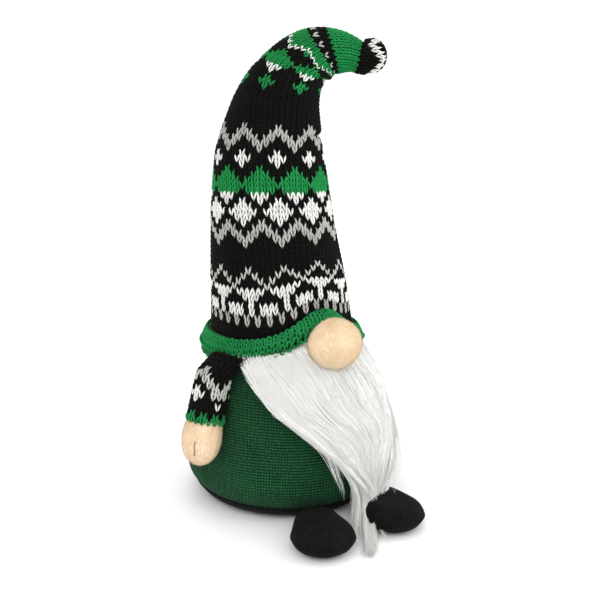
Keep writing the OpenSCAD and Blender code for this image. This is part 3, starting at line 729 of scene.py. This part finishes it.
class GNOME_OT_body(GnomeOperator, Operator):
    """Sews the fine-knit body bag, its base panel and the seam thread"""
    bl_idname = "gnome.body"
    bl_label = "Body and base"

    def execute(self, context):
        settings = context.scene.gnome_body
        around = 192
        turn = np.arange(around + 1) * 2 * math.pi / around + math.pi
        rows, cloth = [], []
        length = 0.0
        heights = np.concatenate([np.linspace(12.1, 28, 14), np.linspace(30, 136, 54)])
        before = None
        for z in heights:
            radius = float(cover_radius(z))
            if before is not None:
                length += math.hypot(z - before[0], radius - before[1])
            before = (z, radius)
            wave = np.sin(turn * 17 + 2 * np.sin(turn * 3)) * 1.1 * smooth(100, 134, z)
            fold = 0.9 * np.sin(turn * 5 + z / 26) * smooth(20, 60, z) * smooth(136, 90, z)
            seam = sum(-settings.seam_depth / MM * np.exp(-((np.degrees(turn) % 360 - at) / 1.4) ** 2) for at in (279, 81))
            place = round_body(radius + wave + fold + seam * smooth(12, 24, z), turn, z)
            place[:, :2] += (0.5 * ripple(place, 34, 5) * smooth(14, 30, z))[:, None] * place[:, :2] / radius
            rows.append(place)
            cloth += [(BELLY * (t - 2 * math.pi) * MM * (0.45 + 0.55 * radius / BELLY), length * MM) for t in turn]
        points, faces = grid(rows, round_way=False)
        top = len(points)
        points = np.vstack([points, [(0, 0, NECK_HEIGHT - 0.3)]])
        start = (len(rows) - 1) * (around + 1)
        faces += [(start + i, start + i + 1, top) for i in range(around)]
        cover = mesh_object("body_bag", points, faces, material=stuff("fine knit"))
        put_map(cover, cloth + [(0, length * MM)])
        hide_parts("body_cover", "body_filling")
        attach(cover, "torso")

        turn = np.arange(120) * 2 * math.pi / 120
        low = [round_body(BASE_FLAT * share, turn, 0.0) for share in (0.15, 0.5, 0.8, 0.97)]
        side = [round_body(BASE_FLAT + (BASE_SEAM - BASE_FLAT) * math.sqrt(1 - (1 - z / SEAM_HEIGHT) ** 2), turn, z)
                for z in (0.3, 1.2, 2.6, 4.5, 7, 9.5, 12)]
        points, faces = grid(low + side + [round_body(BASE_SEAM - 2.0, turn, 12.6)], cap_low=True)
        points, faces = points, [tuple(f) for f in faces]
        panel = mesh_object("base_felt", points, faces, material=stuff("base felt"))
        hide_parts("base_panel")
        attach(panel, "torso")

        loops, count = [], 150
        for k in range(count):
            a = 2 * math.pi * k / count
            path = [round_body(np.array(r), np.array(a + d), np.array(z)) for r, d, z in (
                (79.7, -0.006, 10.2), (81.2, -0.002, 11.2), (82.0, 0.003, 12.6), (82.2, 0.010, 14.2), (81.4, 0.016, 15.2))]
            loops.append(tube(path, (0.25, 0.4, 0.45, 0.4, 0.25), 5))
        seam = joined_tubes("base_overlock", loops, stuff("dark thread"))
        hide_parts("base_seam_piping")
        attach(seam, "torso")
        return {"FINISHED"}


class GNOME_OT_nose(GnomeOperator, Operator):
    """Stuffs the fleece nose"""
    bl_idname = "gnome.nose"
    bl_label = "Nose"

    def execute(self, context):
        rows = []
        turn = np.arange(56) * 2 * math.pi / 56
        for k in range(1, 40):
            polar = math.pi * k / 40
            ring = np.stack([np.cos(turn) * math.sin(polar) * 21.8, -np.sin(turn) * math.sin(polar) * 20.6,
                             0 * turn - math.cos(polar) * 20.2], -1)
            rows.append(NOSE_CENTRE + ring * (1 + 0.018 * ripple(ring, 30, 8))[:, None])
        points, faces = grid(rows, cap_low=True, cap_high=True)
        ball = mesh_object("nose ball", points, [tuple(reversed(f)) for f in faces])
        piece = napped(ball, "nose_fleece", 1.2, 0.11, 2.2, 31, "beige fleece", lean=0.9)
        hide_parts("nose_cover", "nose_filling")
        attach(piece, "torso")
        return {"FINISHED"}


# ---------------------------------------------------------------- beard
# Height, distance off the body, left and right edge in degrees from the front, and half thickness
BEARD_FALL = (
    (136.5, 1, -64, 50, 3), (127, 5, -56, 60, 6), (114, 9, -45, 60, 8), (98, 11, -34, 57, 9), (80, 12, -19, 53, 9),
    (64, 11, -9, 46, 8.5), (50, 10, -3, 32, 8), (36, 9, 4, 26, 6.5), (24, 9, 7, 20, 5))
# The tip lies on the floor: place, half width, half thickness
BEARD_TIP = (((16, -103, 14), 5.5, 4), ((8, -114, 7), 3.6, 2.4), ((0, -127, 4), 2.2, 1.4),
             ((-8, -140, 2.6), 1.2, 0.8), ((-14, -150, 1.6), 0.5, 0.4))
ROOT_LIFT = 18.0


def beard_place(down, across, depth):
    """A place in the beard: down from 0 at its roots to 1 at its tip, across and depth from -1 to 1."""
    places = []
    for k, (z, off, left, right, thick) in enumerate(BEARD_FALL):
        arc = math.radians((left + right) / 2 + across * (right - left) / 2)
        thin = 1 - 0.75 * float(smooth(18, 58, math.degrees(arc)))
        radius = float(cover_radius(z)) + 2.0 + (off - 2.0 + depth * thick) * thin
        lift = ROOT_LIFT * math.exp(-(math.degrees(arc) / 24) ** 2) * max(0.0, 1 - k / 3)
        places.append((radius * math.sin(arc), -radius * math.cos(arc), z + lift))
    for (x, y, z), half, thick in BEARD_TIP:
        places.append((x + across * half, y - depth * thick * 0.3, max(1.2, z + depth * thick)))
    places = np.array(places)
    steps = np.concatenate([[0], np.cumsum(np.linalg.norm(np.diff(places, axis=0), axis=1))])
    at = down * steps[-1]
    return np.stack([np.interp(at, steps, places[:, k]) for k in range(3)], -1)


def strand_lines(locks, hairs, seed, roots, reach, spread, thick):
    """Lines of edges for locks of hairs that close up towards their tips: points, edges and thickness."""
    chance = np.random.default_rng(seed)
    points, edges, wide = [], [], []
    t = np.linspace(0, 1, 10)[:, None]
    for _ in range(locks):
        across, depth, start = chance.uniform(-1, 1), chance.uniform(0.25, 1.0), chance.uniform(*roots)
        length = chance.uniform(*reach)
        stray = 3.6 if abs(across) > 0.78 and chance.random() < 0.45 else 1.0
        lean = chance.normal(0, spread * stray, 3) * [1, 0.6, 0.25]
        curl, phase = chance.normal(0, spread * 0.6, 3), chance.uniform(0, 6)
        for _ in range(hairs):
            share = np.clip(across + chance.normal(0, 0.07), -1.1, 1.05)
            begin = np.clip(start + chance.normal(0, 0.015), 0, 0.97)
            end = min(1.0, begin + length * chance.uniform(0.85, 1.05))
            down = np.linspace(begin, end, len(t))
            path = beard_place(down, share, depth)
            heart = beard_place(down, across, depth)
            path = path + (heart - path) * 0.75 * t ** 1.2 + chance.normal(0, 0.9, 3) * (1 - t) * [1, 0.6, 0.3]
            path = path + lean * t ** 1.4 + curl * np.sin(t * math.pi * 1.6 + phase) * t + chance.normal(0, 0.5, 3) * t
            path[:, 2] = np.maximum(path[:, 2], 1.0)
            first = len(points) * len(t)
            points.append(path)
            edges += [(first + k, first + k + 1) for k in range(len(t) - 1)]
            wide.append(thick * chance.uniform(0.6, 1.15) * np.clip(1.15 - t[:, 0] ** 3 * 1.05, 0.1, 1))
    return np.vstack(points), edges, np.concatenate(wide)


class GNOME_OT_beard(GnomeOperator, Operator):
    """Combs the long fur beard, from its sewn cheeks to the tip on the floor"""
    bl_idname = "gnome.beard"
    bl_label = "Fur beard"

    def execute(self, context):
        settings = context.scene.gnome_beard
        rows = []
        angles = np.arange(40) * 2 * math.pi / 40
        for down in np.linspace(0.0, 0.8, 52):
            rows.append([beard_place(down, 0.88 * math.cos(a), 0.6 * math.sin(a)) for a in angles])
        points, faces = grid(rows, cap_low=True, cap_high=True)
        points = points + (0.5 * ripple(points * np.array([1, 1, 0.3]), 5, 4))[:, None] * [0, -1, 0]
        core = mesh_object("beard_underfur", points, [tuple(reversed(f)) for f in faces], material=stuff("white fur"))
        pieces = [core]
        for k, (roots, reach) in enumerate((((0.0, 0.25), (0.3, 0.6)), ((0.0, 0.5), (0.25, 0.5)),
                                            ((0.0, 0.4), (0.2, 0.5)), ((0.1, 0.7), (0.2, 0.45)),
                                            ((0.3, 0.85), (0.2, 0.4)))):
            locks = settings.strands // 5 // settings.lock
            points, edges, wide = strand_lines(locks, settings.lock, 41 + k, roots, reach, settings.stray / MM, 0.21)
            lines = mesh_object("beard lines", points, edges=edges)
            put_values(lines.data, "thickness", "FLOAT", wide * MM)
            pieces.append(grown(lines, "strands", "beard_fur_%d" % (k + 1), sides=3, material=stuff("white fur")))
        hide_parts("beard_cheeks", "beard_hanging", "beard_backing")
        for piece in pieces:
            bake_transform(piece)
        return {"FINISHED"}


# ---------------------------------------------------------------- arms
def arm_to_body(side, local):
    """Points of a hanging arm, drawn along -Z from its shoulder, carried to their place."""
    local = np.asarray(local, float)
    lean, turn = -ARM_LEAN, ARM_TURNS[side]
    x = local[..., 0] * math.cos(lean) + local[..., 2] * math.sin(lean) + SHOULDER_OUT
    z = -local[..., 0] * math.sin(lean) + local[..., 2] * math.cos(lean) + SHOULDER_HEIGHT
    y = local[..., 1]
    return np.stack([x * math.cos(turn) - y * math.sin(turn), x * math.sin(turn) + y * math.cos(turn), z], -1)


SLEEVE_TOP = 22.0


def sleeve_points(side, d, turn, rise=0.0):
    """The sleeve at d mm above its lower edge, turn from its outer face towards the front."""
    depth = 36.0 - d
    above = np.clip(-depth / SLEEVE_TOP, 0, 1)
    radius = np.interp(depth, (0, 20, 30, 36), (14.5, 15.0, 15.2, 15.9)) + rise
    x = radius * (1 - 0.52 * above) * np.cos(turn) - 18.5 * above ** 1.4
    y = -side * radius * (1 + 0.45 * above) * np.sin(turn)
    return arm_to_body(side, np.stack([x, y, -depth + 0 * turn], -1))


HAND_SHAPE = ((29, 12.4, 12.4), (33, 12.8, 13.2), (37.7, 13.0, 15.6), (43, 13.1, 17.6), (49, 13.0, 18.5),
              (55, 12.5, 18.2), (60.5, 11.4, 16.6), (65, 9.6, 14.0), (68.3, 7.2, 10.5), (70.6, 4.6, 6.6),
              (71.8, 2.0, 3.0))
THUMB_FORWARD = 6.0


class GNOME_OT_arms(GnomeOperator, Operator):
    """Knits the sleeves and stuffs the fleece mittens"""
    bl_idname = "gnome.arms"
    bl_label = "Arms and hands"

    def execute(self, context):
        for word, side in SIDES:
            body = "arm_" + word
            chance = np.random.default_rng(50 + side)
            cells = []
            for row, count in enumerate((18,) * 14):
                turn = (np.arange(count) - count // 2) * 2 * math.pi / count
                d = np.full(count, row * 4.1)
                shape = lambda a, t: sleeve_points(side, a, t, -0.9)
                place, facing, along = frames_on(shape, d, turn, 0.5, 0.03)
                facing *= np.sign(np.sum(facing * (place - shape(d, turn + math.pi)), axis=1))[:, None]
                wide = np.linalg.norm(shape(d, turn + math.pi / count) - shape(d, turn - math.pi / count), axis=1)
                for k in range(count):
                    yarn = chart_yarn(SLEEVE_CHART, row, k - count // 2, 8)
                    size = (wide[k] / 5, 0.97, 1.0)
                    cells.append((place[k], facing[k], along[k] + chance.normal(0, 0.03, 3), size, dye(yarn, chance)))
            around = np.arange(40) * 2 * math.pi / 40
            rows = [sleeve_points(side, np.full(40, d), around, -1.8) for d in (0, 4, 8, 14, 20, 28, 36, 40, 44, 48, 52, 55, 58)]
            points, faces = grid(rows, cap_high=True)
            if side > 0:
                faces = [tuple(reversed(f)) for f in faces]
            backing = mesh_object("sleeve backing", points, faces)
            # painted shade: the backing is the black yarn at 0.6 of its colour, for the shade in the gaps between
            # stitches
            painted_shade_tint = [c * 0.6 for c in colour(YARNS["K"])[:3]] + [1]
            put_values(backing.data, "yarn", "FLOAT_COLOR", [painted_shade_tint] * len(points))
            put_map(backing, points[:, [0, 2]] * MM * 40)
            piece = stitched("sleeve_rows_" + word, cells, backing, knit_stitch())
            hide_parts("sleeve_" + word, "cuff_" + word, "arm_filling_" + word)
            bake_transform(piece)

            around = np.arange(48) * 2 * math.pi / 48
            rows = []
            depths = np.concatenate([np.linspace(29, 64, 24), [65.6, 67, 68.3, 69.4, 70.4, 71.2, 71.8]])
            marks = np.array(HAND_SHAPE)
            for d in depths:
                thick, half = (float(np.interp(d, marks[:, 0], marks[:, k])) for k in (1, 2))
                x = thick * np.sign(np.cos(around)) * np.abs(np.cos(around)) ** 0.9
                y = half * np.sign(np.sin(around)) * np.abs(np.sin(around)) ** 0.95
                edge = np.exp(-(np.cos(around) / 0.12) ** 2)
                y = y + 0.5 * np.sign(y) * edge
                line = np.exp(-((y + side * (THUMB_FORWARD + 0.006 * (d - 57) ** 2)) / 1.5) ** 2) * (x > 0)
                line = line * smooth(48, 52, d) * smooth(66, 62, d)
                x = x - 1.3 * line
                local = np.stack([x, y, 0 * x - d], -1)
                local[:, :2] *= (1 + 0.015 * ripple(local, 22, 7 + side))[:, None]
                rows.append(arm_to_body(side, local))
            points, faces = grid(rows, cap_low=True, cap_high=True)
            mitten = mesh_object("mitten", points, [tuple(reversed(f)) for f in faces])
            piece = napped(mitten, "mitten_" + word, 1.2, 0.11, 1.7, 61, "beige fleece", lean=0.9)
            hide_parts("hand_" + word)
            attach(piece, body)

            threads = []
            for k in range(5):
                d = 52.4 + 2.3 * k
                y = -side * (THUMB_FORWARD + 0.006 * (d - 57) ** 2)
                x = float(np.interp(d, marks[:, 0], marks[:, 1])) * 0.95
                path = [(x - 1.2, y, -d + 1.2), (x - 0.3, y + 0.1, -d + 0.6), (x - 0.2, y + 0.1, -d - 0.6), (x - 1.2, y, -d - 1.2)]
                threads.append(tube(arm_to_body(side, path), (0.28, 0.34, 0.34, 0.28), 6))
            piece = joined_tubes("thumb_line_" + word, threads, stuff("brown thread"))
            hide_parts("thumb_stitch_" + word)
            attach(piece, body)
        return {"FINISHED"}


# ---------------------------------------------------------------- feet
FOOT_HINGE, FOOT_LENGTH, HEEL, TOE, FOOT_HALF = 86.5, 66.0, 18.0, 25.0, 10.5
FOOT_MIDDLE = FOOT_LENGTH / 2
FEET = (("right", -1, 17, 20), ("left", 1, 27, -12))


def sole_edge(turn):
    """Distance from the pad's middle to its edge, along turn from the toe."""
    middle, way = np.array([0.0, -FOOT_MIDDLE]), np.array([math.sin(turn), -math.cos(turn)])
    far = 0.0
    for share in np.linspace(0, 1, 15):
        centre = np.array([0, -HEEL - (FOOT_LENGTH - TOE - HEEL) * share])
        radius = HEEL + (TOE - HEEL) * share
        offset = middle - centre
        b, c = offset @ way, offset @ offset - radius ** 2
        inside = b * b - c
        if inside > 0:
            far = max(far, -b + math.sqrt(inside))
    return far


def foot_to_body(side, heel, turn, local):
    """Points of a foot, drawn along -Y from its heel, carried to their place."""
    local = np.asarray(local, float)
    def spun(points, degrees):
        a = math.radians(degrees)
        return np.stack([points[..., 0] * math.cos(a) - points[..., 1] * math.sin(a),
                         points[..., 0] * math.sin(a) + points[..., 1] * math.cos(a), points[..., 2]], -1)
    return spun(spun(local, side * (turn - heel)) + [0, -FOOT_HINGE, FOOT_HALF], side * heel)


class GNOME_OT_feet(GnomeOperator, Operator):
    """Sews and brushes the two felt pads"""
    bl_idname = "gnome.feet"
    bl_label = "Felt feet"

    def execute(self, context):
        turns = np.arange(72) * 2 * math.pi / 72
        edge = np.array([sole_edge(t) for t in turns])
        for word, side, heel, turn in FEET:
            rows = []
            for share, height in [(s, (1 - s ** 3.4) ** 0.5) for s in np.linspace(0.04, 0.985, 18)] + [(1.0, 0.05), (1.02, 0.0)]:
                rows.append((share, height * 11.4))
            rows += [(1.0, -0.6)] + [(s, -min(1.0, 1.12 * (1 - s ** 3.4) ** 0.6) * FOOT_HALF) for s in np.linspace(0.985, 0.04, 12)]
            places = []
            for share, z in rows:
                flat = np.stack([np.sin(turns) * edge * share, -FOOT_MIDDLE - np.cos(turns) * edge * share, 0 * turns + z], -1)
                flat[:, 2] += 0.5 * ripple(flat, 17, 70 + side) * (1 - share) * (z > 0)
                places.append(foot_to_body(side, heel, turn, flat))
            points, faces = grid(places, cap_low=True, cap_high=True)
            pad = mesh_object("foot pad", points, faces)
            piece = napped(pad, "foot_" + word + "_felt", 2.6, 0.19, 1.1, 80 + side, "black felt", lean=1.0)
            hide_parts("foot_upper_" + word, "foot_sole_" + word, "foot_filling_" + word)
            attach(piece, "foot_" + word)
        return {"FINISHED"}


class GNOME_OT_inside(GnomeOperator, Operator):
    """Gives the filling, card, ballast and wire their own stuffs"""
    bl_idname = "gnome.inside"
    bl_label = "Inner parts"

    def execute(self, context):
        words = {"filling": "fibre", "card": "greyboard", "ballast": "kraft bag", "wire": "steel wire"}
        for name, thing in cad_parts.items():
            for part, word in words.items():
                if part in name:
                    thing.data.materials.clear()
                    thing.data.materials.append(stuff(word))
        return {"FINISHED"}


class GNOME_OT_stage(GnomeOperator, Operator):
    """Sets the pale floor, the soft studio light and the camera"""
    bl_idname = "gnome.stage"
    bl_label = "Stage"

    def execute(self, context):
        settings = context.scene.gnome_stage
        made, tree = new_material("matt white studio floor")
        surface(tree, colour("#fdfdfd"), 0.9, noise(tree, 2.0), 0.00002)
        floor = mesh_object("floor", [(-6000, -6000, -0.4), (6000, -6000, -0.4), (6000, 6000, -0.4), (-6000, 6000, -0.4)],
                            [(0, 1, 2, 3)], material=made)
        context.scene.view_settings.view_transform = "Standard"
        world = bpy.data.worlds.new("studio")
        context.scene.world = world
        world.use_nodes = True
        world.node_tree.nodes["Background"].inputs["Color"].default_value = colour("#ffffff")
        world.node_tree.nodes["Background"].inputs["Strength"].default_value = settings.surround
        for name, place, power, size in (("key", (-0.9, -1.0, 1.5), settings.key, 1.1), ("fill", (1.3, -0.7, 0.8), settings.key * 0.9, 1.4),
                                         ("back", (0.5, 1.3, 1.2), settings.key * 0.4, 1.0)):
            lamp = bpy.data.lights.new(name, "AREA")
            lamp.energy, lamp.size = power, size
            holder = bpy.data.objects.new(name, lamp)
            holder.location = place
            holder.rotation_euler = (Vector((0, 0, 0.17)) - Vector(place)).to_track_quat("-Z", "Y").to_euler()
            context.scene.collection.objects.link(holder)
        eye = bpy.data.objects.new("eye", bpy.data.cameras.new("eye"))
        eye.data.lens, eye.data.sensor_width, eye.data.clip_start = 54.3, 36.0, 0.05
        eye.location = Vector((-382, -657, 345)) * MM
        aim = Vector((9.4, -5.7, 168)) * MM
        eye.rotation_euler = (aim - eye.location).to_track_quat("-Z", "Y").to_euler()
        context.scene.collection.objects.link(eye)
        context.scene.camera = eye
        return {"FINISHED"}


# ---------------------------------------------------------------- settings and panel
class GnomeBody(PropertyGroup):
    seam_depth: FloatProperty(name="Seam depth", description="How deep the side seams pull in", default=0.0018,
                              unit="LENGTH", subtype="DISTANCE")


class GnomeBeard(PropertyGroup):
    strands: IntProperty(name="Strands", description="How many hairs of fur the beard has", default=16000, min=500)
    lock: IntProperty(name="Lock", description="How many hairs close up into a lock", default=16, min=1)
    stray: FloatProperty(name="Stray", description="How far a lock's tip strays", default=0.0022,
                         unit="LENGTH", subtype="DISTANCE")


class GnomeStage(PropertyGroup):
    surround: FloatProperty(name="Surround", description="Brightness of the white room", default=1.1, min=0)
    key: FloatProperty(name="Key light", description="Power of the main softbox in watts", default=9.0, min=0)


PIECES = (GNOME_OT_body, GNOME_OT_hat, GNOME_OT_brim, GNOME_OT_nose, GNOME_OT_beard, GNOME_OT_arms, GNOME_OT_feet,
          GNOME_OT_inside, GNOME_OT_stage)


class GNOME_PT_pieces(Panel):
    """The gnome's pieces in the 3D view's sidebar"""
    bl_label = "Gnome"
    bl_idname = "GNOME_PT_pieces"
    bl_space_type = "VIEW_3D"
    bl_region_type = "UI"
    bl_category = "Gnome"

    def draw(self, context):
        for settings in (context.scene.gnome_body, context.scene.gnome_beard, context.scene.gnome_stage):
            for key in settings.__annotations__:
                self.layout.prop(settings, key)
        for piece in PIECES:
            self.layout.operator(piece.bl_idname)


CLASSES = (GnomeBody, GnomeBeard, GnomeStage, *PIECES, GNOME_PT_pieces)


def register():
    for each in CLASSES:
        bpy.utils.register_class(each)
    bpy.types.Scene.gnome_body = PointerProperty(type=GnomeBody)
    bpy.types.Scene.gnome_beard = PointerProperty(type=GnomeBeard)
    bpy.types.Scene.gnome_stage = PointerProperty(type=GnomeStage)


def unregister():
    for word in ("gnome_body", "gnome_beard", "gnome_stage"):
        delattr(bpy.types.Scene, word)
    for each in reversed(CLASSES):
        bpy.utils.unregister_class(each)


def main():
    register()
    for piece in PIECES:
        getattr(bpy.ops.gnome, piece.bl_idname.split(".")[1])()


if __name__ == "__main__":
    main()
